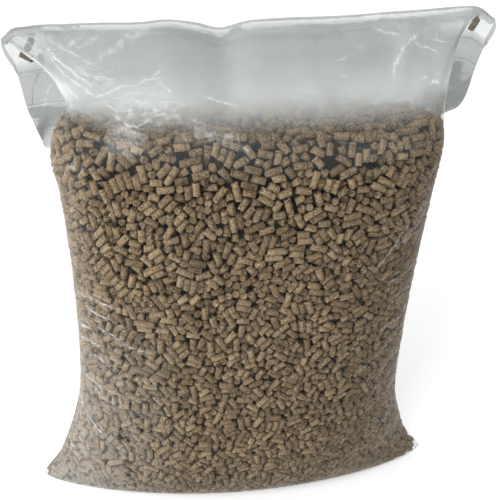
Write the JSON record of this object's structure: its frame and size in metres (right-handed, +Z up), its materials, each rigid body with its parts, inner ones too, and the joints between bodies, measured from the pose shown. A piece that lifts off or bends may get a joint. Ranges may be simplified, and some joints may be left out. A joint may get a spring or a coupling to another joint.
{
  "type": "bag of wood pellets",
  "caption": "Clear film pillow bag filled with short wood pellets, standing on its base with pointed corners, its empty top folded over backwards into a sealed flap.",
  "frame": {"origin": "on the floor, under the middle of the bag's bounding box", "axes": "+Z up, +X to the right seen from the front, +Y to the back where the flap hangs"},
  "size_m": [0.4436, 0.189, 0.5173],
  "materials": {
    "clear_film": "clear soft polyethylene film, slightly milky, glossy, creased",
    "pellet_wood": "pressed sawdust, grey-brown, matt, with dark specks and ragged broken ends"
  },
  "bodies": {
    "root": {"bag_film": "clear_film", "pellet_heap": "pellet_wood", "stray_pellet_1": "pellet_wood", "stray_pellet_2": "pellet_wood", "stray_pellet_3": "pellet_wood", "stray_pellet_4": "pellet_wood", "stray_pellet_5": "pellet_wood", "stray_pellet_6": "pellet_wood", "stray_pellet_7": "pellet_wood"}
  },
  "joints": []
}
